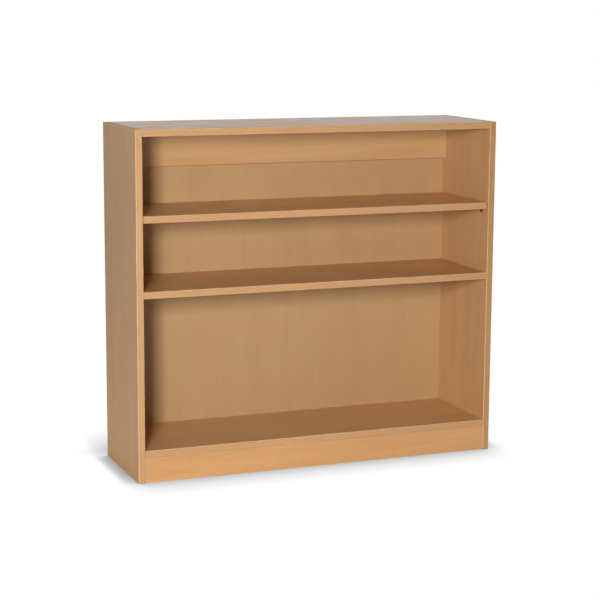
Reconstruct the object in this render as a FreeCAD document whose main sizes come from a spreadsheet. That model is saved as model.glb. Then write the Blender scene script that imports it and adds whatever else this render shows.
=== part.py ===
import FreeCAD, Part
import os
import Sketcher

# A free-standing, single-sided bookcase in beech-faced board, with a fixed middle shelf and an
# adjustable upper shelf. Millimetres. The origin is on the floor under the middle of the case:
# +X runs to the right as seen from the open front, +Y to the back and +Z up.

doc = FreeCAD.newDocument("bookcase")
sheet = doc.addObject("Spreadsheet::Sheet", "sizes")

# Driving dimensions

SIZES = {
    # The case and its boards
    "case_width": 1000,
    "case_depth": 300,
    "case_height": 900,
    "board": 18,
    "front_strip": 2,
    "thin_strip": 1,
    "front_arris": 1.9,
    "thin_arris": 0.6,
    "floor_gap": 1,
    "plinth_height": 66,
    "plinth_setback": 1,
    "fixed_shelf_top": 494,
    "rail_height": 99,
    # The back panel and the grooves that hold it
    "back_inset": 16,
    "back_thickness": 6,
    "groove_depth": 6,
    "groove_play": 0.1,
    "back_play": 0.5,
    # The adjustable shelf
    "loose_shelf_top": 684,
    "shelf_end_gap": 2.5,
    "shelf_setback": 5,
    "shelf_back_gap": 2,
    # Its plug-in supports and their holes
    "support_row_front": 37,
    "support_row_rear": 229,
    "support_pitch": 32,
    "support_hole_radius": 2.5,
    "support_hole_depth": 10,
    "support_width": 9,
    "support_drop": 13,
    "support_reach": 9.5,
    "support_plate": 2,
    "support_corner": 2,
    "gusset_width": 3,
    "gusset_foot": 1,
    "gusset_lip": 1,
    "pin_radius": 2.45,
    "pin_length": 8.5,
    "pin_drop": 6.5,
    "pin_chamfer": 0.6,
    # Rows of fixings in the boards, measured from the front of the case
    "cam_row_front": 50,
    "cam_row_rear": 226,
    "dowel_row_front": 82,
    "dowel_row_rear": 194,
    # Heights of the end fixings above the lower edge of the rail and of the plinths
    "rail_cam_rise": 32,
    "rail_dowel_rise": 68,
    "plinth_cam_rise": 46,
    "plinth_dowel_rise": 19,
    "drill_play": 0.1,
    # Cam locks
    "cam_radius": 7.4,
    "cam_height": 13.5,
    "cam_pocket_depth": 14,
    "cam_from_end": 24,
    "cam_slot_floor": 5.4,
    "cam_neck_width": 4.6,
    "cam_neck_reach": 4.2,
    "cam_chamber_width": 7,
    "cam_chamber_reach": 3.5,
    "cam_cross_length": 7.5,
    "cam_cross_width": 1.6,
    "cam_cross_depth": 3,
    # Cam bolts
    "bolt_thread_radius": 2.4,
    "bolt_thread_length": 11,
    "bolt_hole_depth": 12,
    "bolt_shank_radius": 3.5,
    "bolt_shank_length": 15.5,
    "bolt_neck_radius": 1.9,
    "bolt_neck_length": 4.5,
    "bolt_head_radius": 3.1,
    "bolt_head_length": 3,
    "bolt_chamfer": 0.5,
    "bolt_bore_radius": 4,
    # Wooden dowels
    "dowel_radius": 4,
    "dowel_length": 30,
    "dowel_in_side": 12,
    "dowel_chamfer": 1,
    "dowel_slack": 0.5,
    "upright_dowel_spacing": 320,
    # Countersunk screws of the back panel
    "screw_head_radius": 3.5,
    "screw_shank_radius": 1.75,
    "screw_length": 16,
    "screw_tip": 2.5,
    "screw_cross_length": 3.6,
    "screw_cross_width": 0.8,
    "screw_cross_depth": 1.5,
    "screw_inner_place": 130,
    "screw_outer_place": 390,
    "screw_rail_rise": 49,
}

for row, (alias, number) in enumerate(SIZES.items(), start=1):
    sheet.set(f"A{row}", alias)
    sheet.set(f"B{row}", str(number))
    sheet.setAlias(f"B{row}", alias)
doc.recompute()

# Places in the case, as expressions of the driving dimensions

FLOOR = "0"
LEFT = "(-sizes.case_width / 2)"
RIGHT = "(sizes.case_width / 2)"
FRONT = "(-sizes.case_depth / 2)"
REAR = "(sizes.case_depth / 2)"
TOP = "sizes.case_height"

INNER_LEFT = f"({LEFT} + sizes.board)"
INNER_RIGHT = f"({RIGHT} - sizes.board)"
BOARD_FRONT = f"({FRONT} + sizes.front_strip)"
BOARD_REAR = f"({REAR} - sizes.thin_strip)"
SIDE_BOARD_TOP = f"({TOP} - sizes.thin_strip)"
TOP_UNDERSIDE = f"({TOP} - sizes.board)"
PLINTH_TOP = "(sizes.floor_gap + sizes.plinth_height)"
BASE_TOP = f"({PLINTH_TOP} + sizes.board)"
FIXED_SHELF_UNDERSIDE = "(sizes.fixed_shelf_top - sizes.board)"

BACK_REAR = f"({REAR} - sizes.back_inset)"
BACK_FRONT = f"({BACK_REAR} - sizes.back_thickness)"
GROOVE_FRONT = f"({BACK_FRONT} - sizes.groove_play)"
GROOVE_REAR = f"({BACK_REAR} + sizes.groove_play)"
BACK_REACH = "(sizes.groove_depth - sizes.back_play)"

PLINTH_FRONT = f"({FRONT} + sizes.plinth_setback)"
PLINTH_BACK = f"({PLINTH_FRONT} + sizes.board)"
RAIL_FRONT = f"({BACK_FRONT} - sizes.board)"
RAIL_BOTTOM = f"({TOP_UNDERSIDE} - sizes.rail_height)"
RAIL_BOARD_BOTTOM = f"({RAIL_BOTTOM} + sizes.thin_strip)"

LOOSE_UNDERSIDE = "(sizes.loose_shelf_top - sizes.board)"
LOOSE_LEFT = f"({INNER_LEFT} + sizes.shelf_end_gap)"
LOOSE_RIGHT = f"({INNER_RIGHT} - sizes.shelf_end_gap)"
LOOSE_FRONT = f"({FRONT} + sizes.shelf_setback)"
LOOSE_REAR = f"({BACK_FRONT} - sizes.shelf_back_gap)"
LOOSE_BOARD_LEFT = f"({LOOSE_LEFT} + sizes.thin_strip)"
LOOSE_BOARD_RIGHT = f"({LOOSE_RIGHT} - sizes.thin_strip)"
LOOSE_BOARD_FRONT = f"({LOOSE_FRONT} + sizes.front_strip)"
LOOSE_BOARD_REAR = f"({LOOSE_REAR} - sizes.thin_strip)"
PIN_LEVEL = f"({LOOSE_UNDERSIDE} - sizes.pin_drop)"

TOP_MIDDLE = f"({TOP} - sizes.board / 2)"
BASE_MIDDLE = f"({BASE_TOP} - sizes.board / 2)"
FIXED_SHELF_MIDDLE = "(sizes.fixed_shelf_top - sizes.board / 2)"
RAIL_MIDDLE = f"({BACK_FRONT} - sizes.board / 2)"
FRONT_PLINTH_MIDDLE = f"({PLINTH_FRONT} + sizes.board / 2)"

CAM_ROWS = (f"({FRONT} + sizes.cam_row_front)", f"({FRONT} + sizes.cam_row_rear)")
DOWEL_ROWS = (f"({FRONT} + sizes.dowel_row_front)", f"({FRONT} + sizes.dowel_row_rear)")
SUPPORT_ROWS = {
    "front": f"({FRONT} + sizes.support_row_front)",
    "rear": f"({FRONT} + sizes.support_row_rear)",
}

# Sketch elements, by the numbers that the sketcher gives them

H_AXIS = -1
V_AXIS = -2
ORIGIN = -1
START = 1
END = 2
CENTRE = 3

PLANE_ACROSS = {"x": "YZ_Plane", "y": "XZ_Plane", "z": "XY_Plane"}
AXES_IN_PLANE = {"x": ("y", "z"), "y": ("x", "z"), "z": ("x", "y")}
TOLERANCE = 1e-6

X_AXIS = FreeCAD.Vector(1, 0, 0)
Y_AXIS = FreeCAD.Vector(0, 1, 0)
Z_AXIS = FreeCAD.Vector(0, 0, 1)

nodes = []


def measure(expression):
    """The present number of an expression of the driving dimensions."""
    return float(sheet.evalExpression(expression))


def place(item, x, y, z):
    """Bind an object's position to three expressions."""
    for axis, expression in zip("xyz", (x, y, z)):
        item.setExpression(f"Placement.Base.{axis}", expression)


def new_body(label):
    body = doc.addObject("PartDesign::Body", label)
    body.Label = label
    return body


def new_sketch(body, name, axis):
    """A sketch on the body's origin plane that lies across one axis."""
    sketch = body.newObject("Sketcher::SketchObject", name)
    role = PLANE_ACROSS[axis]
    plane = next(item for item in body.Origin.OriginFeatures if item.Role == role)
    sketch.AttachmentSupport = [(plane, "")]
    sketch.MapMode = "FlatFace"
    return sketch


def fix_point(sketch, geometry, point, u, v):
    """Hold one point of a sketch at two expressions, measured from the sketch's origin."""
    for kind, zero_line, expression in (("DistanceX", V_AXIS, u), ("DistanceY", H_AXIS, v)):
        if expression == "0":
            sketch.addConstraint(Sketcher.Constraint("PointOnObject", geometry, point, zero_line))
            continue
        distance = Sketcher.Constraint(kind, ORIGIN, START, geometry, point, measure(expression))
        index = sketch.addConstraint(distance)
        sketch.setExpression(f"Constraints[{index}]", expression)


def outline(sketch, points):
    """A closed outline of straight lines through points given as pairs of expressions."""
    corners = [FreeCAD.Vector(measure(u), measure(v), 0) for u, v in points]
    first = sketch.GeometryCount
    for start, end in zip(corners, corners[1:] + corners[:1]):
        sketch.addGeometry(Part.LineSegment(start, end))
    for index in range(len(points)):
        following = first + (index + 1) % len(points)
        sketch.addConstraint(Sketcher.Constraint("Coincident", first + index, END, following, START))
    for index, (u, v) in enumerate(points):
        fix_point(sketch, first + index, START, u, v)


def rectangle(sketch, u_low, v_low, u_high, v_high):
    outline(sketch, [(u_low, v_low), (u_high, v_low), (u_high, v_high), (u_low, v_high)])


def circle(sketch, u, v, radius):
    centre = FreeCAD.Vector(measure(u), measure(v), 0)
    index = sketch.addGeometry(Part.Circle(centre, Z_AXIS, measure(radius)))
    fix_point(sketch, index, CENTRE, u, v)
    limit = sketch.addConstraint(Sketcher.Constraint("Radius", index, measure(radius)))
    sketch.setExpression(f"Constraints[{limit}]", radius)


def pad(body, sketch, length, reverse=False, symmetric=False):
    feature = body.newObject("PartDesign::Pad", f"{body.Label}_pad")
    feature.Profile = sketch
    feature.setExpression("Length", length)
    feature.Reversed = reverse
    if symmetric:
        feature.SideType = "Symmetric"
    return feature


def pocket(body, sketch, depth, reverse=False):
    feature = body.newObject("PartDesign::Pocket", f"{body.Label}_pocket")
    feature.Profile = sketch
    feature.setExpression("Length", depth)
    feature.Reversed = reverse
    return feature


def revolve(body, sketch, axis_name):
    feature = body.newObject("PartDesign::Revolution", f"{body.Label}_revolution")
    feature.Profile = sketch
    feature.ReferenceAxis = (sketch, [axis_name])
    feature.Angle = 360
    return feature


def edges_at(shape, places):
    """Names of the edges whose ends all lie at the given places along the body's own axes."""
    names = []
    for number, edge in enumerate(shape.Edges, start=1):
        points = [vertex.Point for vertex in edge.Vertexes]
        offsets = [abs(getattr(point, axis) - spot) for point in points for axis, spot in places.items()]
        if max(offsets) < TOLERANCE:
            names.append(f"Edge{number}")
    return names


def dress_edges(body, kind, size_property, size, corners):
    """Round or chamfer the edges of a body that lie at the given corners."""
    doc.recompute()
    tip = body.Tip
    names = [name for places in corners for name in edges_at(tip.Shape, places)]
    feature = body.newObject(f"PartDesign::{kind}", f"{body.Label}_{kind.lower()}")
    feature.Base = (tip, names)
    feature.setExpression(size_property, size)


class Board:
    """A board or strip: its broad face sketched as a rectangle and padded by its thickness."""

    def __init__(self, label, flat_axis, low, high):
        self.low = dict(zip("xyz", low))
        self.high = dict(zip("xyz", high))
        self.body = new_body(label)
        place(self.body, *low)
        sketch = new_sketch(self.body, f"{label}_outline", flat_axis)
        u, v = AXES_IN_PLANE[flat_axis]
        rectangle(sketch, "0", "0", self.length(u), self.length(v))
        pad(self.body, sketch, self.length(flat_axis), reverse=flat_axis == "y")
        nodes.append(self.body)

    def length(self, axis):
        return f"({self.high[axis]} - ({self.low[axis]}))"

    def local(self, axis, spot):
        """A place in the case, measured from the board's low corner."""
        return f"({spot} - ({self.low[axis]}))"

    def face_place(self, face):
        side, axis = face
        return self.high[axis] if side == "+" else self.low[axis]

    def face_sketch(self, face):
        """A sketch on one of the six faces, such as +x, with the two other axes as its own."""
        side, axis = face
        sketch = new_sketch(self.body, f"{self.body.Label}_marking", axis)
        if side == "+":
            sign = "-" if axis == "y" else ""
            sketch.setExpression("AttachmentOffset.Base.z", f"{sign}{self.length(axis)}")
        return sketch

    def cut(self, face, sketch, depth):
        pocket(self.body, sketch, depth, reverse=face in ("-x", "+y", "-z"))

    def drill(self, face, spots, radius, depth):
        """Blind round holes in one face, at spots given by their places in the case."""
        sketch = self.face_sketch(face)
        u, v = AXES_IN_PLANE[face[1]]
        for spot_u, spot_v in spots:
            circle(sketch, self.local(u, spot_u), self.local(v, spot_v), radius)
        self.cut(face, sketch, depth)

    def groove(self, face, low, high, depth):
        """A straight groove in one face, between two corners given by their places in the case."""
        sketch = self.face_sketch(face)
        u, v = AXES_IN_PLANE[face[1]]
        low_corner = (self.local(u, low[0]), self.local(v, low[1]))
        high_corner = (self.local(u, high[0]), self.local(v, high[1]))
        rectangle(sketch, *low_corner, *high_corner)
        self.cut(face, sketch, depth)

    def round_arrises(self, face_pairs, radius):
        """Round the edges where two faces meet, such as -x with -y."""
        corners = []
        for pair in face_pairs:
            spots = {axis: measure(self.length(axis)) if side == "+" else 0 for side, axis in pair}
            corners.append(spots)
        dress_edges(self.body, "Fillet", "Radius", radius, corners)


# Patterns of the fixings, each made once and repeated by links


def make_cam_lock():
    """The eccentric that grips a bolt: its slotted face is at z = 0 and the bolt comes from -X."""
    body = new_body("cam_lock")
    disc = new_sketch(body, "cam_lock_disc", "z")
    circle(disc, "0", "0", "sizes.cam_radius")
    pad(body, disc, "sizes.cam_height")
    slot_depth = "(sizes.cam_height - sizes.cam_slot_floor)"
    slots = (
        ("-sizes.cam_radius", "-sizes.cam_neck_reach", "sizes.cam_neck_width / 2"),
        ("-sizes.cam_neck_reach", "sizes.cam_chamber_reach", "sizes.cam_chamber_width / 2"),
    )
    for start, end, half_width in slots:
        slot = new_sketch(body, "cam_lock_slot", "z")
        slot.setExpression("AttachmentOffset.Base.z", "sizes.cam_height")
        rectangle(slot, start, f"-{half_width}", end, half_width)
        pocket(body, slot, slot_depth)
    half_length = "sizes.cam_cross_length / 2"
    half_width = "sizes.cam_cross_width / 2"
    for u, v in ((half_length, half_width), (half_width, half_length)):
        cross = new_sketch(body, "cam_lock_cross", "z")
        rectangle(cross, f"-{u}", f"-{v}", u, v)
        pocket(body, cross, "sizes.cam_cross_depth", reverse=True)
    return body


def make_cam_bolt():
    """The bolt that a cam grips: it lies along X, from the tip of its thread to its head."""
    body = new_body("cam_bolt")
    profile = new_sketch(body, "cam_bolt_profile", "z")
    shank_start = "sizes.bolt_thread_length"
    neck_start = f"({shank_start} + sizes.bolt_shank_length)"
    head_start = f"({neck_start} + sizes.bolt_neck_length)"
    head_end = f"({head_start} + sizes.bolt_head_length)"
    points = [
        ("0", "0"),
        (head_end, "0"),
        (head_end, "(sizes.bolt_head_radius - sizes.bolt_chamfer)"),
        (f"({head_end} - sizes.bolt_chamfer)", "sizes.bolt_head_radius"),
        (head_start, "sizes.bolt_head_radius"),
        (head_start, "sizes.bolt_neck_radius"),
        (neck_start, "sizes.bolt_neck_radius"),
        (neck_start, "sizes.bolt_shank_radius"),
        (shank_start, "sizes.bolt_shank_radius"),
        (shank_start, "sizes.bolt_thread_radius"),
        ("sizes.bolt_chamfer", "sizes.bolt_thread_radius"),
        ("0", "(sizes.bolt_thread_radius - sizes.bolt_chamfer)"),
    ]
    outline(profile, points)
    revolve(body, profile, "H_Axis")
    return body


def make_dowel():
    """A wooden dowel along X with chamfered ends."""
    body = new_body("wooden_dowel")
    profile = new_sketch(body, "wooden_dowel_profile", "z")
    end_radius = "(sizes.dowel_radius - sizes.dowel_chamfer)"
    points = [
        ("0", "0"),
        ("sizes.dowel_length", "0"),
        ("sizes.dowel_length", end_radius),
        ("(sizes.dowel_length - sizes.dowel_chamfer)", "sizes.dowel_radius"),
        ("sizes.dowel_chamfer", "sizes.dowel_radius"),
        ("0", end_radius),
    ]
    outline(profile, points)
    revolve(body, profile, "H_Axis")
    return body


def make_screw():
    """A countersunk screw with a cross recess: its head is at y = 0 and it points along +Y."""
    body = new_body("back_screw")
    profile = new_sketch(body, "back_screw_profile", "z")
    points = [
        ("0", "0"),
        ("sizes.screw_head_radius", "0"),
        ("sizes.screw_shank_radius", "(sizes.screw_head_radius - sizes.screw_shank_radius)"),
        ("sizes.screw_shank_radius", "(sizes.screw_length - sizes.screw_tip)"),
        ("0", "sizes.screw_length"),
    ]
    outline(profile, points)
    revolve(body, profile, "V_Axis")
    half_length = "sizes.screw_cross_length / 2"
    half_width = "sizes.screw_cross_width / 2"
    for u, v in ((half_length, half_width), (half_width, half_length)):
        cross = new_sketch(body, "back_screw_cross", "y")
        rectangle(cross, f"-{u}", f"-{v}", u, v)
        pocket(body, cross, "sizes.screw_cross_depth")
    return body


cam_lock = make_cam_lock()
cam_bolt = make_cam_bolt()
wooden_dowel = make_dowel()
back_screw = make_screw()


def group(label, pattern, places):
    """A node of identical pieces: a link to the pattern piece, turned and set at each place."""
    links = []
    for number, (turn, spot) in enumerate(places, start=1):
        link = doc.addObject("App::Link", f"{label}_{number}")
        link.LinkedObject = pattern
        link.Placement = FreeCAD.Placement(FreeCAD.Vector(), turn)
        place(link, *spot)
        links.append(link)
    bundle = doc.addObject("Part::Compound", label)
    bundle.Label = label
    bundle.Links = links
    nodes.append(bundle)


# Boards that the fixings join

left_side = Board(
    "left_side_panel", "x", (LEFT, BOARD_FRONT, FLOOR), (INNER_LEFT, BOARD_REAR, SIDE_BOARD_TOP)
)
right_side = Board(
    "right_side_panel", "x", (INNER_RIGHT, BOARD_FRONT, FLOOR), (RIGHT, BOARD_REAR, SIDE_BOARD_TOP)
)
top = Board(
    "top_panel", "z", (INNER_LEFT, BOARD_FRONT, TOP_UNDERSIDE), (INNER_RIGHT, BOARD_REAR, TOP)
)
base = Board(
    "base_panel", "z", (INNER_LEFT, BOARD_FRONT, PLINTH_TOP), (INNER_RIGHT, BACK_FRONT, BASE_TOP)
)
fixed_shelf = Board(
    "fixed_shelf",
    "z",
    (INNER_LEFT, BOARD_FRONT, FIXED_SHELF_UNDERSIDE),
    (INNER_RIGHT, BACK_FRONT, "sizes.fixed_shelf_top"),
)
rail = Board(
    "top_back_rail",
    "y",
    (INNER_LEFT, RAIL_FRONT, RAIL_BOARD_BOTTOM),
    (INNER_RIGHT, BACK_FRONT, TOP_UNDERSIDE),
)
front_plinth = Board(
    "front_plinth",
    "y",
    (INNER_LEFT, PLINTH_FRONT, "sizes.floor_gap"),
    (INNER_RIGHT, PLINTH_BACK, PLINTH_TOP),
)
rear_plinth = Board(
    "rear_plinth",
    "y",
    (INNER_LEFT, RAIL_FRONT, "sizes.floor_gap"),
    (INNER_RIGHT, BACK_FRONT, PLINTH_TOP),
)
back_panel = Board(
    "back_panel",
    "y",
    (f"({INNER_LEFT} - {BACK_REACH})", BACK_FRONT, PLINTH_TOP),
    (f"({INNER_RIGHT} + {BACK_REACH})", BACK_REAR, f"({TOP_UNDERSIDE} + {BACK_REACH})"),
)

top.groove("-z", (INNER_LEFT, GROOVE_FRONT), (INNER_RIGHT, GROOVE_REAR), "sizes.groove_depth")

# Cam locks, cam bolts and dowels between those boards

DOWEL_BORE = "(sizes.dowel_radius + sizes.drill_play)"
DOWEL_IN_BOARD = "(sizes.dowel_length - sizes.dowel_in_side + sizes.dowel_slack)"
DOWEL_IN_SIDE = "(sizes.dowel_in_side + sizes.dowel_slack)"
UPRIGHT_DOWELS = ("-sizes.upright_dowel_spacing", "0", "sizes.upright_dowel_spacing")

CAM_LEFT = f"({INNER_LEFT} + sizes.cam_from_end)"
CAM_RIGHT = f"({INNER_RIGHT} - sizes.cam_from_end)"
AS_MADE = FreeCAD.Rotation()
TURNED = FreeCAD.Rotation(Z_AXIS, 180)
HANGING = FreeCAD.Rotation(Y_AXIS, 90)
CAM_TURNS = {
    "-z": FreeCAD.Rotation(),
    "+y": FreeCAD.Rotation(X_AXIS, 90),
    "-y": FreeCAD.Rotation(X_AXIS, -90),
}

side_bolt_spots = []
side_dowel_spots = []


def join(name, board, bolts, dowels, cam_face, upright_row=None, upright_board=None):
    """Bore both ends of a board for cams, bolts and dowels, given as pairs of y and z, and fit them.

    Dowels along an upright row also stand out of the board's top edge into the board above it.
    """
    side_bolt_spots.extend(bolts)
    side_dowel_spots.extend(dowels)
    for end in ("-x", "+x"):
        board.drill(end, bolts, "sizes.bolt_bore_radius", "sizes.cam_from_end")
        board.drill(end, dowels, DOWEL_BORE, DOWEL_IN_BOARD)

    cam_spots = []
    cams = []
    fitted_bolts = []
    fitted_dowels = []
    face_level = board.face_place(cam_face)
    for inner_face, outward, cam_x, turn in (
        (INNER_LEFT, "-", CAM_LEFT, AS_MADE),
        (INNER_RIGHT, "+", CAM_RIGHT, TURNED),
    ):
        for y, z in bolts:
            cam_spots.append((cam_x, y) if cam_face == "-z" else (cam_x, z))
            cam_place = (cam_x, y, face_level) if cam_face == "-z" else (cam_x, face_level, z)
            cams.append((CAM_TURNS[cam_face].multiply(turn), cam_place))
            fitted_bolts.append((turn, (f"({inner_face} {outward} sizes.bolt_thread_length)", y, z)))
        for y, z in dowels:
            fitted_dowels.append((turn, (f"({inner_face} {outward} sizes.dowel_in_side)", y, z)))
    board.drill(cam_face, cam_spots, "(sizes.cam_radius + sizes.drill_play)", "sizes.cam_pocket_depth")

    if upright_board:
        spots = [(x, upright_row) for x in UPRIGHT_DOWELS]
        board.drill("+z", spots, DOWEL_BORE, DOWEL_IN_BOARD)
        upright_board.drill("-z", spots, DOWEL_BORE, DOWEL_IN_SIDE)
        dowel_top = f"({board.face_place('+z')} + sizes.dowel_in_side)"
        fitted_dowels.extend((HANGING, (x, upright_row, dowel_top)) for x in UPRIGHT_DOWELS)

    group(f"{name}_cam_locks", cam_lock, cams)
    group(f"{name}_cam_bolts", cam_bolt, fitted_bolts)
    group(f"{name}_dowels", wooden_dowel, fitted_dowels)


for name, board, level in (
    ("top", top, TOP_MIDDLE),
    ("fixed_shelf", fixed_shelf, FIXED_SHELF_MIDDLE),
    ("base", base, BASE_MIDDLE),
):
    join(name, board, [(row, level) for row in CAM_ROWS], [(row, level) for row in DOWEL_ROWS], "-z")

for name, board, row, bottom, rise, cam_face, board_above in (
    ("back_rail", rail, RAIL_MIDDLE, RAIL_BOTTOM, "rail", "+y", top),
    ("front_plinth", front_plinth, FRONT_PLINTH_MIDDLE, "sizes.floor_gap", "plinth", "+y", base),
    ("rear_plinth", rear_plinth, RAIL_MIDDLE, "sizes.floor_gap", "plinth", "-y", base),
):
    bolt_spot = (row, f"({bottom} + sizes.{rise}_cam_rise)")
    dowel_spot = (row, f"({bottom} + sizes.{rise}_dowel_rise)")
    join(name, board, [bolt_spot], [dowel_spot], cam_face, row, board_above)

# Side panels: a groove for the back panel, bores for the fixings, and three heights of support holes

support_spots = []
for step in ("-1", "0", "1"):
    for row in SUPPORT_ROWS.values():
        support_spots.append((row, f"({PIN_LEVEL} + {step} * sizes.support_pitch)"))

for side, inner_face in ((left_side, "+x"), (right_side, "-x")):
    side.groove(inner_face, (GROOVE_FRONT, FLOOR), (GROOVE_REAR, SIDE_BOARD_TOP), "sizes.groove_depth")
    bolt_hole = "(sizes.bolt_thread_radius + sizes.drill_play)"
    side.drill(inner_face, side_bolt_spots, bolt_hole, "sizes.bolt_hole_depth")
    side.drill(inner_face, side_dowel_spots, DOWEL_BORE, DOWEL_IN_SIDE)
    side.drill(inner_face, support_spots, "sizes.support_hole_radius", "sizes.support_hole_depth")

# Screws through the back panel into the rail, the fixed shelf and the base

SCREW_COLUMNS = (
    "-sizes.screw_outer_place",
    "-sizes.screw_inner_place",
    "sizes.screw_inner_place",
    "sizes.screw_outer_place",
)
SCREW_RAIL_LEVEL = f"({RAIL_BOTTOM} + sizes.screw_rail_rise)"
SCREW_BORE = "(sizes.screw_shank_radius + sizes.drill_play)"
SCREW_IN_BOARD = "(sizes.screw_length - sizes.back_thickness + sizes.dowel_slack)"

screw_places = []
screw_spots = []
for board, level in ((rail, SCREW_RAIL_LEVEL), (fixed_shelf, FIXED_SHELF_MIDDLE), (base, BASE_MIDDLE)):
    spots = [(x, level) for x in SCREW_COLUMNS]
    board.drill("+y", spots, SCREW_BORE, SCREW_IN_BOARD)
    screw_spots.extend(spots)
    screw_places.extend((TURNED, (x, BACK_REAR, level)) for x in SCREW_COLUMNS)
group("back_panel_screws", back_screw, screw_places)

countersinks = back_panel.face_sketch("+y")
for x, z in screw_spots:
    circle(countersinks, back_panel.local("x", x), back_panel.local("z", z), SCREW_BORE)
doc.recompute()
screw_holes = back_panel.body.newObject("PartDesign::Hole", "back_panel_screw_holes")
screw_holes.Profile = countersinks
screw_holes.DepthType = "ThroughAll"
screw_holes.Reversed = True
screw_holes.HoleCutType = "Countersink"
screw_holes.HoleCutCustomValues = True
screw_holes.HoleCutCountersinkAngle = 90
screw_holes.setExpression("Diameter", f"2 * {SCREW_BORE}")
screw_holes.setExpression("HoleCutDiameter", "2 * (sizes.screw_head_radius + sizes.drill_play)")

# Edge strips

for side_name, outer_x, inner_x, outer_face in (
    ("left", LEFT, INNER_LEFT, "-x"),
    ("right", INNER_RIGHT, RIGHT, "+x"),
):
    strip = Board(
        f"{side_name}_side_front_edging", "y", (outer_x, FRONT, FLOOR), (inner_x, BOARD_FRONT, TOP)
    )
    strip.round_arrises([("-x", "-y"), ("+x", "-y")], "sizes.front_arris")
    strip = Board(f"{side_name}_side_rear_edging", "y", (outer_x, BOARD_REAR, FLOOR), (inner_x, REAR, TOP))
    strip.round_arrises([("-x", "+y"), ("+x", "+y")], "sizes.thin_arris")
    strip = Board(
        f"{side_name}_side_top_edging",
        "z",
        (outer_x, BOARD_FRONT, SIDE_BOARD_TOP),
        (inner_x, BOARD_REAR, TOP),
    )
    strip.round_arrises([(outer_face, "+z")], "sizes.thin_arris")

for name, underside, upper_face in (
    ("top", TOP_UNDERSIDE, TOP),
    ("fixed_shelf", FIXED_SHELF_UNDERSIDE, "sizes.fixed_shelf_top"),
    ("base", PLINTH_TOP, BASE_TOP),
):
    strip = Board(
        f"{name}_front_edging", "y", (INNER_LEFT, FRONT, underside), (INNER_RIGHT, BOARD_FRONT, upper_face)
    )
    strip.round_arrises([("-y", "-z"), ("-y", "+z")], "sizes.front_arris")

strip = Board(
    "top_rear_edging", "y", (INNER_LEFT, BOARD_REAR, TOP_UNDERSIDE), (INNER_RIGHT, REAR, TOP)
)
strip.round_arrises([("+y", "-z"), ("+y", "+z")], "sizes.thin_arris")
strip = Board(
    "back_rail_lower_edging",
    "z",
    (INNER_LEFT, RAIL_FRONT, RAIL_BOTTOM),
    (INNER_RIGHT, BACK_FRONT, RAIL_BOARD_BOTTOM),
)
strip.round_arrises([("-y", "-z")], "sizes.thin_arris")

# The adjustable shelf and its edge strips

Board(
    "adjustable_shelf",
    "z",
    (LOOSE_BOARD_LEFT, LOOSE_BOARD_FRONT, LOOSE_UNDERSIDE),
    (LOOSE_BOARD_RIGHT, LOOSE_BOARD_REAR, "sizes.loose_shelf_top"),
)
strip = Board(
    "adjustable_shelf_front_edging",
    "y",
    (LOOSE_LEFT, LOOSE_FRONT, LOOSE_UNDERSIDE),
    (LOOSE_RIGHT, LOOSE_BOARD_FRONT, "sizes.loose_shelf_top"),
)
strip.round_arrises([("-y", "-z"), ("-y", "+z")], "sizes.front_arris")
strip = Board(
    "adjustable_shelf_rear_edging",
    "y",
    (LOOSE_LEFT, LOOSE_BOARD_REAR, LOOSE_UNDERSIDE),
    (LOOSE_RIGHT, LOOSE_REAR, "sizes.loose_shelf_top"),
)
strip.round_arrises([("+y", "-z"), ("+y", "+z")], "sizes.thin_arris")
for side_name, low_x, high_x, outer_face in (
    ("left", LOOSE_LEFT, LOOSE_BOARD_LEFT, "-x"),
    ("right", LOOSE_BOARD_RIGHT, LOOSE_RIGHT, "+x"),
):
    strip = Board(
        f"adjustable_shelf_{side_name}_edging",
        "x",
        (low_x, LOOSE_BOARD_FRONT, LOOSE_UNDERSIDE),
        (high_x, LOOSE_BOARD_REAR, "sizes.loose_shelf_top"),
    )
    strip.round_arrises([(outer_face, "-z"), (outer_face, "+z")], "sizes.thin_arris")

# Shelf supports


def make_support(label, turn, wall_x, row):
    """A plug-in angle support: a plate on the wall, a plate under the shelf, a gusset and a pin."""
    body = new_body(label)
    body.Placement = FreeCAD.Placement(FreeCAD.Vector(), turn)
    place(body, wall_x, row, f"({LOOSE_UNDERSIDE} - sizes.support_drop)")
    shelf_plate_underside = "(sizes.support_drop - sizes.support_plate)"
    angle = new_sketch(body, f"{label}_angle", "y")
    points = [
        ("0", "0"),
        ("sizes.support_plate", "0"),
        ("sizes.support_plate", shelf_plate_underside),
        ("sizes.support_reach", shelf_plate_underside),
        ("sizes.support_reach", "sizes.support_drop"),
        ("0", "sizes.support_drop"),
    ]
    outline(angle, points)
    pad(body, angle, "sizes.support_width", symmetric=True)
    half_width = measure("sizes.support_width / 2")
    reach = measure("sizes.support_reach")
    corners = []
    for side_y in (-half_width, half_width):
        corners.append({"x": reach, "y": side_y})
        corners.append({"y": side_y, "z": 0})
    dress_edges(body, "Fillet", "Radius", "sizes.support_corner", corners)
    gusset = new_sketch(body, f"{label}_gusset", "y")
    points = [
        ("sizes.support_plate", "sizes.gusset_foot"),
        ("(sizes.support_reach - sizes.gusset_lip)", shelf_plate_underside),
        ("sizes.support_plate", shelf_plate_underside),
    ]
    outline(gusset, points)
    pad(body, gusset, "sizes.gusset_width", symmetric=True)
    pin = new_sketch(body, f"{label}_pin", "x")
    circle(pin, "0", "(sizes.support_drop - sizes.pin_drop)", "sizes.pin_radius")
    pad(body, pin, "sizes.pin_length", reverse=True)
    dress_edges(body, "Chamfer", "Size", "sizes.pin_chamfer", [{"x": -measure("sizes.pin_length")}])
    nodes.append(body)


for row_name, row in SUPPORT_ROWS.items():
    make_support(f"shelf_support_{row_name}_left", AS_MADE, INNER_LEFT, row)
    make_support(f"shelf_support_{row_name}_right", TURNED, INNER_RIGHT, row)

# Tests before anything is written

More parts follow.
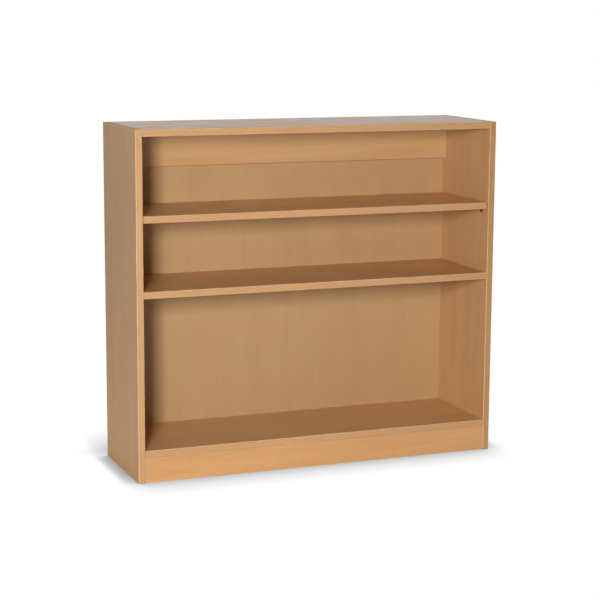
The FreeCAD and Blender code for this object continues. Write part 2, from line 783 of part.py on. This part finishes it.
doc.recompute()
for item in doc.Objects:
    if "Invalid" in item.State or "Error" in item.State:
        raise RuntimeError(f"{item.Label} did not compute: {item.State}")
    if item.isDerivedFrom("PartDesign::Pocket") or item.isDerivedFrom("PartDesign::Hole"):
        if item.Shape.Volume >= item.BaseFeature.Shape.Volume:
            raise RuntimeError(f"{item.Label} removes nothing")
for node in nodes:
    if node.Shape.isNull() or not node.Shape.isValid():
        raise RuntimeError(f"{node.Label} has no valid shape")

os.makedirs("parts", exist_ok=True)
for node in nodes:
    node.Shape.exportStep(f"parts/{node.Label}.step")
print(len(nodes), "nodes,", sum(len(node.Shape.Solids) for node in nodes), "solids")
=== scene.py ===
import math
from collections import namedtuple

import bpy
from mathutils import Matrix, Vector


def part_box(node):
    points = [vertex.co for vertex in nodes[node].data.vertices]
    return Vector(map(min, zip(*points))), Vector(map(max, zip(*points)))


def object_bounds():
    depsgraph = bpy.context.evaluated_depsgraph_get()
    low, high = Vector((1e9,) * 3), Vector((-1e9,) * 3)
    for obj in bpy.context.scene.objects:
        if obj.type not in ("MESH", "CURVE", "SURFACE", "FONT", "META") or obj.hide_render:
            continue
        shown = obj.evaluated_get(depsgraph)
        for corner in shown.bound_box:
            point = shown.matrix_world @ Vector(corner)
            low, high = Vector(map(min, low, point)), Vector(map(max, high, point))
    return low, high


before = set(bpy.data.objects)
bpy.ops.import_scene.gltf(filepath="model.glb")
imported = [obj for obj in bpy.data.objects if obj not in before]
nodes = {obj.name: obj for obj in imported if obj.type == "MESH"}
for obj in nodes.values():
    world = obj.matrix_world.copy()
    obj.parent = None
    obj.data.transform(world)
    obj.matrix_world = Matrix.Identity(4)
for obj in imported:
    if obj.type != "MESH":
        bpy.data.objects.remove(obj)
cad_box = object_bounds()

# A beech-effect bookcase: the finish of every board, edge strip and fitting, with a camera, a floor
# and studio light. Metres. The open front of the case faces -Y and the floor is at z = 0.

AXIS_INDEX = {"x": 0, "y": 1, "z": 2}
WHITE = (1, 1, 1, 1)

# Camera: the view of the photograph, found from the straight edges of the case

IMAGE_SIZE = 600
SENSOR_WIDTH = 36
FOCAL_LENGTH_IN_PIXELS = 1688.6
CAMERA_PLACE = (-1.6611, -4.1562, 1.1985)
CAMERA_TURN = math.radians(-21.762)
CAMERA_DOWN_TILT = math.radians(9.841)
CAMERA_ROLL = math.radians(0.322)


def make_camera():
    data = bpy.data.cameras.new("camera")
    data.sensor_width = SENSOR_WIDTH
    data.lens = FOCAL_LENGTH_IN_PIXELS / IMAGE_SIZE * SENSOR_WIDTH
    camera = bpy.data.objects.new("camera", data)
    turn = Matrix.Rotation(CAMERA_TURN, 4, "Z")
    tilt = Matrix.Rotation(math.pi / 2 - CAMERA_DOWN_TILT, 4, "X")
    roll = Matrix.Rotation(CAMERA_ROLL, 4, "Z")
    camera.matrix_world = Matrix.Translation(CAMERA_PLACE) @ turn @ tilt @ roll
    bpy.context.scene.collection.objects.link(camera)
    bpy.context.scene.camera = camera


# Node trees

# A kind of mark in a material: its length along the grain and its width across it, a step that sets
# its pattern apart from others of the same seed, and the character of its noise
Mark = namedtuple(
    "Mark", "length width step detail roughness distortion", defaults=(0, 2.0, 0.5, 0.0)
)

SEED_STEP = Vector((3.7, 5.3, 2.9))

# The span that holds most of a noise
NOISE_SPAN = (0.3, 0.7)

# Places of the colour sockets among the sockets of a mix node
MIX_FIRST_COLOUR = 6
MIX_SECOND_COLOUR = 7
MIX_COLOUR_RESULT = 2


class Tree:
    """A node tree that is filled one node at a time. Most calls return the new node's output."""

    def __init__(self, tree):
        self.tree = tree
        tree.nodes.clear()

    def add(self, kind, inputs=(), output=0, **settings):
        node = self.tree.nodes.new(kind)
        for name, value in settings.items():
            setattr(node, name, value)
        for key, value in dict(inputs).items():
            if isinstance(value, bpy.types.NodeSocket):
                self.tree.links.new(value, node.inputs[key])
            else:
                node.inputs[key].default_value = value
        return node.outputs[output]

    def maths(self, operation, first, second=0.5):
        return self.add("ShaderNodeMath", {0: first, 1: second}, operation=operation)

    def blend(self, factor, first, second):
        """Two colours mixed by a factor."""
        inputs = {"Factor": factor, MIX_FIRST_COLOUR: first, MIX_SECOND_COLOUR: second}
        return self.add("ShaderNodeMix", inputs, output=MIX_COLOUR_RESULT, data_type="RGBA")

    def rescale(self, value, span, new_span=(0.0, 1.0)):
        """A value moved from one span to another, and held inside it."""
        (low, high), (new_low, new_high) = span, new_span
        inputs = {
            "Value": value,
            "From Min": low,
            "From Max": high,
            "To Min": new_low,
            "To Max": new_high,
        }
        return self.add("ShaderNodeMapRange", inputs)

    def object_place(self):
        return self.add("ShaderNodeTexCoord", output="Object")

    def parts(self, vector, axes):
        """The parts of a vector along some of the axes X, Y and Z."""
        return [self.add("ShaderNodeSeparateXYZ", {"Vector": vector}, output=axis) for axis in axes]

    def mark_place(self, mark, grain, seed):
        """Object coordinates counted in marks, along the grain and across it."""
        scale = [1 / mark.width] * 3
        scale[AXIS_INDEX[grain]] = 1 / mark.length
        inputs = {
            "Vector": self.object_place(),
            "Location": (seed + mark.step) * SEED_STEP,
            "Scale": scale,
        }
        return self.add("ShaderNodeMapping", inputs)

    def noise(self, mark, grain="z", seed=0):
        inputs = {
            "Vector": self.mark_place(mark, grain, seed),
            "Scale": 1.0,
            "Detail": mark.detail,
            "Roughness": mark.roughness,
            "Distortion": mark.distortion,
        }
        return self.add("ShaderNodeTexNoise", inputs)

    def cells(self, mark, grain="z", seed=0):
        """Scattered cells: the distance from a cell's middle, and a random number for each cell."""
        inputs = {"Vector": self.mark_place(mark, grain, seed), "Scale": 1.0}
        distance = self.add("ShaderNodeTexVoronoi", inputs, output="Distance")
        colour = self.add("ShaderNodeTexVoronoi", inputs, output="Color")
        return distance, self.add("ShaderNodeSeparateColor", {"Color": colour})

    def bump(self, height, strength, depth):
        inputs = {"Height": height, "Strength": strength, "Distance": depth}
        return self.add("ShaderNodeBump", inputs)

    def surface(self, **inputs):
        """Close the tree with one principled shader."""
        named = {name.replace("_", " "): value for name, value in inputs.items()}
        self.close(self.add("ShaderNodeBsdfPrincipled", named))

    def close(self, shader, output_kind="ShaderNodeOutputMaterial"):
        """Make a shader the surface that the tree gives."""
        output = self.tree.nodes.new(output_kind)
        self.tree.links.new(shader, output.inputs["Surface"])


def new_material(name):
    material = bpy.data.materials.new(name)
    material.use_nodes = True
    return material, Tree(material.node_tree)


# Beech print

BAND = Mark(0.9, 0.060, detail=3, distortion=0.6)
STREAK = Mark(0.25, 0.016, step=0.3, detail=3, roughness=0.55)
LINE = Mark(0.11, 0.002, detail=3, roughness=0.6)
MOTTLE = Mark(0.20, 0.11, step=1)
FLECK = Mark(0.0045, 0.0007)
LONG_FLECK = Mark(0.011, 0.0014)
WEAR = Mark(0.07, 0.07, step=2, detail=4, roughness=0.6)
RUB = Mark(0.033, 0.011, step=3, detail=4, roughness=0.65)
HAZE = Mark(0.14, 0.09, step=4, detail=5, roughness=0.6)

# Tones of the print, as shares of its mean colour
PALE_TONE = (1.065, 1.085, 1.110)
DEEP_TONE = (0.935, 0.915, 0.890)
ROSE_TONE = (0.985, 0.955, 1.000)
FLECK_TONE = (0.550, 0.455, 0.400)

# Weights of the marks in the print's tone, and the weighted noise that is deepest and palest
BAND_WEIGHT = 0.40
STREAK_WEIGHT = 0.35
LINE_WEIGHT = 0.25
TONE_SPAN = (0.36, 0.64)

# Noise where the rose tint begins and is fullest, and its fullest share
ROSE_SPAN = (0.45, 0.75)
ROSE_SHARE = 0.6

# A fleck's outer and inner rim in its cell, and the random numbers from faint to full flecks
FLECK_RIM = (0.45, 0.20)
FLECK_CHANCE = (0.55, 0.80)

PRINT_DEPTH = 0.0002

BOARD_FLECKS = 0.28
BOARD_ROUGHNESS = (0.30, 0.42)
BOARD_RELIEF = 0.12

STRIP_COLOUR = (0.555, 0.305, 0.136)
# The right side's strip is darker than the others as painted shade
RIGHT_STRIP_SHADED_COLOUR = (0.487, 0.258, 0.103)
STRIP_FLECKS = 0.22
STRIP_ROUGHNESS = (0.48, 0.60)
STRIP_SPECULAR = 0.35
STRIP_RELIEF = 0.10

# The largest part of the normal where a rounded arris begins and where it counts fully
ARRIS_SPAN = (0.995, 0.95)

# Noise where an arris begins to pale and is palest, and the share there: wear by scraping and a
# painted highlight
SCRAPE_AND_HIGHLIGHT_SPAN = (0.25, 0.60)
SCRAPE_AND_HIGHLIGHT_SHARE = 0.70
SCRAPED_AND_HIGHLIGHT_COLOUR = (0.80, 0.57, 0.36, 1)

# Dust and painted shade in a joint: how near another piece lies,
# and the openness where the darkening begins and is thickest
DUST_AND_SHADE_REACH = 0.006
DUST_AND_SHADE_SPAN = (0.99, 0.80)
DUST_AND_SHADE_SHARE = 0.9
DUST_AND_SHADE_COLOUR = (0.12, 0.06, 0.025, 1)

BACK_FLECKS = 0.20
BACK_ROUGHNESS = (0.42, 0.55)
BACK_SPECULAR = 0.4
BACK_RELIEF = 0.08
# The plain colour under the haze, darker low and paler high on the board: painted light
BACK_HAZE_SHADED_LOW = (0.414, 0.256, 0.116, 1)
BACK_HAZE_LIT_HIGH = (0.560, 0.349, 0.160, 1)
BACK_HAZE_SPAN = (0.35, 0.65)
BACK_HAZE_SHARE = (0.2, 0.6)


def toned(colour, tone):
    return tuple(part * share for part, share in zip(colour, tone)) + (1,)


def print_tone(tree, grain, seed):
    """The tone of the print from deep to pale: bands, streaks and lines added by their weights."""
    band = tree.maths("MULTIPLY", tree.noise(BAND, grain, seed), BAND_WEIGHT)
    streak = tree.maths("MULTIPLY", tree.noise(STREAK, grain, seed), STREAK_WEIGHT)
    line = tree.maths("MULTIPLY", tree.noise(LINE, grain, seed), LINE_WEIGHT)
    return tree.rescale(tree.maths("ADD", tree.maths("ADD", band, streak), line), TONE_SPAN)


def print_flecks(tree, grain, seed):
    """The short dark flecks of beech: 1 in the middle of a full fleck and 0 between flecks."""
    flecks = 0.0
    for mark in (FLECK, LONG_FLECK):
        distance, chance = tree.cells(mark, grain, seed)
        shape = tree.rescale(distance, FLECK_RIM)
        strength = tree.rescale(chance, FLECK_CHANCE)
        flecks = tree.maths("MAXIMUM", flecks, tree.maths("MULTIPLY", shape, strength))
    return flecks


def beech_print(tree, grain, seed, mean_colour, fleck_strength):
    """The colour of a beech print with a rose mottle and flecks, and the height of its relief."""
    tone = print_tone(tree, grain, seed)
    flecks = print_flecks(tree, grain, seed)
    mottle = tree.rescale(tree.noise(MOTTLE, grain, seed), ROSE_SPAN, (0, ROSE_SHARE))
    wood = tree.blend(tone, toned(mean_colour, DEEP_TONE), toned(mean_colour, PALE_TONE))
    wood = tree.blend(mottle, wood, toned(mean_colour, ROSE_TONE))
    fleck_share = tree.maths("MULTIPLY", flecks, fleck_strength)
    colour = tree.blend(fleck_share, wood, toned(mean_colour, FLECK_TONE))
    return colour, tree.maths("SUBTRACT", tone, flecks)


def melamine(name, grain, seed, mean_colour):
    """Board faced with a satin beech print, its gloss a little uneven with wear."""
    material, tree = new_material(name)
    colour, relief = beech_print(tree, grain, seed, mean_colour, BOARD_FLECKS)
    tree.surface(
        Base_Color=colour,
        Roughness=tree.rescale(tree.noise(WEAR, grain, seed), NOISE_SPAN, BOARD_ROUGHNESS),
        Normal=tree.bump(relief, BOARD_RELIEF, PRINT_DEPTH),
    )
    return material


def rounded_arris(tree):
    """1 on the rounded arrises of a square piece and 0 on its flat faces."""
    normal = tree.add("ShaderNodeNewGeometry", output="Normal")
    facing = tree.add("ShaderNodeVectorMath", {0: normal}, operation="ABSOLUTE")
    x, y, z = tree.parts(facing, "XYZ")
    flatness = tree.maths("MAXIMUM", tree.maths("MAXIMUM", x, y), z)
    return tree.rescale(flatness, ARRIS_SPAN)


def joint_dust_and_shade(tree, colour):
    """A colour darkened where another piece is close by: dust and painted shade."""
    openness = tree.add("ShaderNodeAmbientOcclusion", {"Distance": DUST_AND_SHADE_REACH}, output="AO")
    return tree.blend(tree.rescale(openness, DUST_AND_SHADE_SPAN, (0, DUST_AND_SHADE_SHARE)), colour, DUST_AND_SHADE_COLOUR)


def edge_strip(name, grain, seed, mean_colour, dusty_and_shaded):
    """Matt plastic edge strip printed to match, paler in places along its arrises: wear and a
    painted highlight.
    """
    material, tree = new_material(name)
    colour, relief = beech_print(tree, grain, seed, mean_colour, STRIP_FLECKS)
    rub = tree.noise(RUB, grain, seed)
    # Pale arrises in places: wear by scraping and a painted highlight
    scrapes_and_highlight = tree.rescale(rub, SCRAPE_AND_HIGHLIGHT_SPAN, (0, SCRAPE_AND_HIGHLIGHT_SHARE))
    scraped_and_highlit = tree.maths("MULTIPLY", rounded_arris(tree), scrapes_and_highlight)
    rubbed_and_highlit = tree.blend(scraped_and_highlit, colour, SCRAPED_AND_HIGHLIGHT_COLOUR)
    tree.surface(
        # On the base strip, dust and painted shade darken the joint with the plinth
        Base_Color=joint_dust_and_shade(tree, rubbed_and_highlit) if dusty_and_shaded else rubbed_and_highlit,
        Roughness=tree.rescale(rub, NOISE_SPAN, STRIP_ROUGHNESS),
        Specular_IOR_Level=STRIP_SPECULAR,
        Normal=tree.bump(relief, STRIP_RELIEF, PRINT_DEPTH),
    )
    return material


def back_board(name, grain, seed, mean_colour):
    """Thin back board with a plainer print under a haze, which pales toward its top as painted
    light.
    """
    material, tree = new_material(name)
    colour, relief = beech_print(tree, grain, seed, mean_colour, BACK_FLECKS)
    haze = tree.noise(HAZE, grain, seed)
    bottom, top = (corner.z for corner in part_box("back_panel"))
    (height,) = tree.parts(tree.object_place(), "Z")
    # Painted light: the plain colour pales from the board's bottom to its top
    plain_with_painted_light = tree.blend(tree.rescale(height, (bottom, top)), BACK_HAZE_SHADED_LOW, BACK_HAZE_LIT_HIGH)
    tree.surface(
        Base_Color=tree.blend(tree.rescale(haze, BACK_HAZE_SPAN, BACK_HAZE_SHARE), colour, plain_with_painted_light),
        Roughness=tree.rescale(haze, NOISE_SPAN, BACK_ROUGHNESS),
        Specular_IOR_Level=BACK_SPECULAR,
        Normal=tree.bump(relief, BACK_RELIEF, PRINT_DEPTH),
    )
    return material


# Core and fittings

CHIP = Mark(0.0024, 0.0038)
CHIP_DUST = Mark(0.0011, 0.0011, detail=3)
CHIP_DARK = (0.36, 0.22, 0.11, 1)
CHIP_PALE = (0.62, 0.44, 0.26, 1)
CHIP_GAP_COLOUR = (0.20, 0.12, 0.06, 1)
CHIP_GAP_SPAN = (0.45, 0.8)
CHIP_GAP_SHARE = 0.7
CHIP_DUST_COLOUR = (0.55, 0.40, 0.25, 1)
CHIP_DUST_SHARE = 0.3
CHIP_DUST_SPAN = (0.2, 0.8)
CHIP_ROUGHNESS = (0.8, 0.95)
CHIP_RELIEF = 0.5
CHIP_DEPTH = 0.0005

SPARK = Mark(0.0004, 0.0004, detail=3)
PLASTIC_CLOUD = Mark(0.006, 0.006)
PLASTIC_DARK = (0.030, 0.012, 0.006, 1)
PLASTIC_PALE = (0.052, 0.024, 0.012, 1)
PLASTIC_ROUGHNESS = (0.42, 0.58)
SPARK_RELIEF = 0.25
SPARK_DEPTH = 0.0001

METAL_CLOUD = Mark(0.006, 0.006, detail=3)
METAL_SPAN = (0.35, 0.65)
METAL_ROUGHNESS_RISE = 0.15
METAL_RELIEF = 0.15
METAL_DEPTH = 0.0001

# Each metal: its darkest and palest colour, its least roughness and its fine marks
METALS = {
    "cast_zinc": {
        "dark": (0.36, 0.36, 0.37, 1),
        "pale": (0.55, 0.55, 0.56, 1),
        "roughness": 0.42,
        "mark": Mark(0.0014, 0.0014, detail=4, roughness=0.6),
    },
    "plated_steel": {
        "dark": (0.50, 0.48, 0.42, 1),
        "pale": (0.68, 0.66, 0.60, 1),
        "roughness": 0.28,
        "mark": Mark(0.0014, 0.0003, detail=4, roughness=0.6),
    },
    "screw_steel": {
        "dark": (0.48, 0.47, 0.44, 1),
        "pale": (0.66, 0.65, 0.62, 1),
        "roughness": 0.26,
        "mark": Mark(0.0014, 0.0004, detail=4, roughness=0.6),
    },
}

DOWEL_LINE = Mark(0.017, 0.0011, detail=4, roughness=0.6)
DOWEL_DARK = (0.50, 0.33, 0.19, 1)
DOWEL_PALE = (0.72, 0.54, 0.36, 1)
DOWEL_ROUGHNESS = (0.7, 0.85)
DOWEL_RELIEF = 0.3
DOWEL_DEPTH = 0.0002


def chipboard():
    """Raw edge of a board: pale and dark chips pressed together."""
    material, tree = new_material("chipboard_core")
    gap, level = tree.cells(CHIP)
    dust = tree.noise(CHIP_DUST)
    gaps = tree.rescale(gap, CHIP_GAP_SPAN, (0, CHIP_GAP_SHARE))
    chips = tree.blend(gaps, tree.blend(level, CHIP_DARK, CHIP_PALE), CHIP_GAP_COLOUR)
    dusting = tree.maths("MULTIPLY", dust, CHIP_DUST_SHARE)
    tree.surface(
        Base_Color=tree.blend(dusting, chips, CHIP_DUST_COLOUR),
        Roughness=tree.rescale(dust, CHIP_DUST_SPAN, CHIP_ROUGHNESS),
        Normal=tree.bump(tree.maths("SUBTRACT", dust, gap), CHIP_RELIEF, CHIP_DEPTH),
    )
    return material


def support_plastic():
    """Dark brown moulded plastic with a fine spark-eroded texture."""
    material, tree = new_material("support_plastic")
    spark = tree.noise(SPARK)
    tree.surface(
        Base_Color=tree.blend(tree.noise(PLASTIC_CLOUD), PLASTIC_DARK, PLASTIC_PALE),
        Roughness=tree.rescale(spark, NOISE_SPAN, PLASTIC_ROUGHNESS),
        Normal=tree.bump(spark, SPARK_RELIEF, SPARK_DEPTH),
    )
    return material


def metal(name, dark, pale, roughness, mark):
    """Metal with fine marks and cloudy patches."""
    material, tree = new_material(name)
    fine = tree.noise(mark, "x")
    cloud = tree.noise(METAL_CLOUD)
    shade = tree.maths("MULTIPLY", tree.maths("ADD", fine, cloud), 1 / 2)
    tree.surface(
        Base_Color=tree.blend(tree.rescale(shade, METAL_SPAN), dark, pale),
        Metallic=1.0,
        Roughness=tree.rescale(shade, METAL_SPAN, (roughness, roughness + METAL_ROUGHNESS_RISE)),
        Normal=tree.bump(fine, METAL_RELIEF, METAL_DEPTH),
    )
    return material


def raw_beech():
    """Unfinished beech of the dowels."""
    material, tree = new_material("raw_beech")
    line = tree.noise(DOWEL_LINE, "x")
    tree.surface(
        Base_Color=tree.blend(tree.rescale(line, NOISE_SPAN), DOWEL_DARK, DOWEL_PALE),
        Roughness=tree.rescale(line, NOISE_SPAN, DOWEL_ROUGHNESS),
        Normal=tree.bump(line, DOWEL_RELIEF, DOWEL_DEPTH),
    )
    return material


# Finishes on the pieces

# Each board: the axis across its broad faces, the axis that its grain follows and its mean colour
# The mean colours differ from board to board partly by their own tone and partly as painted light
# and shade
BOARDS = {
    "left_side_panel": ("x", "z", (0.600, 0.338, 0.143)),
    "right_side_panel": ("x", "z", (0.528, 0.300, 0.132)),
    "top_panel": ("z", "x", (0.550, 0.314, 0.152)),
    "fixed_shelf": ("z", "x", (0.577, 0.303, 0.123)),
    "base_panel": ("z", "x", (0.585, 0.318, 0.133)),
    "adjustable_shelf": ("z", "x", (0.660, 0.366, 0.149)),
    "top_back_rail": ("y", "x", (0.572, 0.334, 0.147)),
    "front_plinth": ("y", "x", (0.620, 0.328, 0.136)),
    "rear_plinth": ("y", "x", (0.600, 0.316, 0.132)),
    "back_panel": ("y", "z", (0.465, 0.288, 0.131)),
}
FACE_TOLERANCE = 0.00005
SQUARE_ON = 0.99


def cover(node, *materials):
    data = nodes[node].data
    data.materials.clear()
    for material in materials:
        data.materials.append(material)


def cover_board(node, flat_axis, face, core):
    """Give a board's two broad faces one material, and its edges and bores another."""
    cover(node, face, core)
    axis = AXIS_INDEX[flat_axis]
    low, high = (corner[axis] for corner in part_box(node))
    for polygon in nodes[node].data.polygons:
        level = polygon.center[axis]
        on_face = min(abs(level - low), abs(level - high)) < FACE_TOLERANCE
        polygon.material_index = 0 if on_face and abs(polygon.normal[axis]) > SQUARE_ON else 1


def longest_axis(node):
    low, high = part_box(node)
    lengths = high - low
    return max("xyz", key=lambda axis: lengths[AXIS_INDEX[axis]])


def finish_boards():
    core = chipboard()
    for seed, (node, (flat_axis, grain, colour)) in enumerate(BOARDS.items(), start=1):
        facing = back_board if node == "back_panel" else melamine
        cover_board(node, flat_axis, facing(f"face_{node}", grain, seed, colour), core)


def finish_strips():
    strips = sorted(node for node in nodes if node.endswith("_edging"))
    for seed, node in enumerate(strips, start=len(BOARDS) + 1):
        # The right side's strip takes a darker colour: painted shade
        colour = RIGHT_STRIP_SHADED_COLOUR if node == "right_side_front_edging" else STRIP_COLOUR
        dusty_and_shaded = node == "base_front_edging"
        cover(node, edge_strip(f"strip_{node}", longest_axis(node), seed, colour, dusty_and_shaded))


def finish_fittings():
    """Cover each fitting by the ending of its name. A shelf support's name ends with its side."""
    plastic = support_plastic()
    metals = {name: metal(name, **look) for name, look in METALS.items()}
    materials = {
        "_cam_locks": metals["cast_zinc"],
        "_cam_bolts": metals["plated_steel"],
        "_screws": metals["screw_steel"],
        "_dowels": raw_beech(),
        "_left": plastic,
        "_right": plastic,
    }
    for node in nodes:
        for ending, material in materials.items():
            if node.endswith(ending):
                cover(node, material)


# Floor, surroundings and light

FLOOR_SIZE = 40
FRONT_SHADOW_REACH = 0.125
REAR_SHADOW_REACH = 0.30
REAR_SHADOW_RAMP = 0.05
REAR_SHADOW_DEPTH = 0.30
SIDE_SHADOW_WIDTH = 0.04
SIDE_SHADOW_RAMP = 0.10
LEFT_SHADOW_SHARE = 0.38
RIGHT_SHADOW_SHARE = 0.52
FRONT_SHADOW_TONE = 0.56
SIDE_SHADOW_TONE = 0.36
SHADOW_OPENNESS = (0.5, 1.0)
BOUNCE_COLOUR = (0.8, 0.8, 0.8, 1)
FLOOR_IN_REFLECTIONS = 0.35
SURROUND_LEVEL = 0.03

KEY_PLACE = (-1.915, -3.40, 1.23)
KEY_AIM = (-0.3, -1.12, 0.0)
KEY_SIZE = (0.52, 0.80)
KEY_SPREAD = math.radians(125)
KEY_WATTS = 74
REAR_PLACE = (2.6, 3.0, 1.35)
REAR_AIM = (0.0, 0.0, 0.5)
REAR_SIZE = (1.6, 1.6)
REAR_WATTS = 150
TOP_PLACE = (-0.45, 0.75, 2.2)
TOP_AIM = (-0.2, 0.05, 0.9)
TOP_SIZE = (1.2, 0.5)
TOP_WATTS = 2.0
LEFT_PLACE = (-0.95, 0.05, 0.04)
LEFT_AIM = (-0.5, 0.0, 0.06)
LEFT_SIZE = (0.5, 0.06)
LEFT_WATTS = 0.25


def ray_kinds(tree):
    """1 for rays from the camera or through glass, and 1 for reflected rays; 0 for other rays."""
    path = tree.tree.nodes.new("ShaderNodeLightPath").outputs
    seen = tree.maths("MAXIMUM", path["Is Camera Ray"], path["Is Transmission Ray"])
    return seen, path["Is Glossy Ray"]


def contact_shadow(tree):
    """The soft shadow at the foot of the case: short beside it, longer and deeper behind it."""
    (left, front, _), (right, rear, _) = cad_box
    x, y = tree.parts(tree.object_place(), "XY")
    side_share = tree.rescale(x, (left, right), (LEFT_SHADOW_SHARE, RIGHT_SHADOW_SHARE))
    off_side = tree.maths("ABSOLUTE", x)
    share = tree.rescale(off_side, (right, right + SIDE_SHADOW_WIDTH), (1.0, side_share))
    behind = tree.rescale(y, (rear, rear + REAR_SHADOW_RAMP))
    reach = tree.rescale(behind, (0, 1), (FRONT_SHADOW_REACH, REAR_SHADOW_REACH))
    side_ramp = (front, front + SIDE_SHADOW_RAMP)
    beside = tree.rescale(y, side_ramp, (FRONT_SHADOW_TONE, SIDE_SHADOW_TONE))
    tone = tree.maths("SUBTRACT", beside, tree.maths("MULTIPLY", behind, REAR_SHADOW_DEPTH))
    distance = tree.maths("MULTIPLY", reach, share)
    openness = tree.add("ShaderNodeAmbientOcclusion", {"Distance": distance}, output="AO")
    return tree.rescale(openness, SHADOW_OPENNESS, (tone, 1.0))


def make_floor():
    """A white floor with the soft shadow at the foot of the case, fainter in reflections."""
    half = FLOOR_SIZE / 2
    corners = [(-half, -half, 0), (half, -half, 0), (half, half, 0), (-half, half, 0)]
    mesh = bpy.data.meshes.new("floor")
    mesh.from_pydata(corners, [], [(0, 1, 2, 3)])
    floor = bpy.data.objects.new("floor", mesh)
    bpy.context.scene.collection.objects.link(floor)
    material, tree = new_material("floor_white")
    seen, reflected = ray_kinds(tree)
    shade = contact_shadow(tree)
    level = tree.maths("MAXIMUM", seen, tree.maths("MULTIPLY", reflected, FLOOR_IN_REFLECTIONS))
    white = tree.add("ShaderNodeEmission", {"Strength": tree.maths("MULTIPLY", shade, level)})
    bounce = tree.add("ShaderNodeBsdfDiffuse", {"Color": BOUNCE_COLOUR})
    shown = tree.maths("MAXIMUM", seen, reflected)
    tree.close(tree.add("ShaderNodeMixShader", {0: shown, 1: bounce, 2: white}))
    mesh.materials.append(material)


def make_surround():
    """White surroundings, full in the picture and in reflections, that light things a little."""
    world = bpy.data.worlds.new("surround")
    world.use_nodes = True
    bpy.context.scene.world = world
    tree = Tree(world.node_tree)
    shown = tree.maths("MAXIMUM", *ray_kinds(tree))
    level = tree.rescale(shown, (0, 1), (SURROUND_LEVEL, 1.0))
    sky = tree.add("ShaderNodeBackground", {"Color": WHITE, "Strength": level})
    tree.close(sky, "ShaderNodeOutputWorld")


def softbox(name, place, aim, size, watts):
    data = bpy.data.lights.new(name, "AREA")
    data.shape = "RECTANGLE"
    data.size, data.size_y = size
    data.energy = watts
    lamp = bpy.data.objects.new(name, data)
    lamp.location = place
    lamp.rotation_euler = (Vector(aim) - Vector(place)).to_track_quat("-Z", "Y").to_euler()
    lamp.visible_camera = False
    bpy.context.scene.collection.objects.link(lamp)
    return lamp


def make_lights():
    """A key lamp beside the camera, and three fill lamps that don't show in reflections."""
    key_lamp = softbox("key_softbox", KEY_PLACE, KEY_AIM, KEY_SIZE, KEY_WATTS)
    key_lamp.data.spread = KEY_SPREAD
    fill_lamps = (
        softbox("rear_softbox", REAR_PLACE, REAR_AIM, REAR_SIZE, REAR_WATTS),
        softbox("top_softbox", TOP_PLACE, TOP_AIM, TOP_SIZE, TOP_WATTS),
        softbox("left_fill", LEFT_PLACE, LEFT_AIM, LEFT_SIZE, LEFT_WATTS),
    )
    for lamp in fill_lamps:
        lamp.visible_glossy = False


make_camera()
finish_boards()
finish_strips()
finish_fittings()
make_floor()
make_surround()
make_lights()
bpy.context.scene.view_settings.view_transform = "Standard"
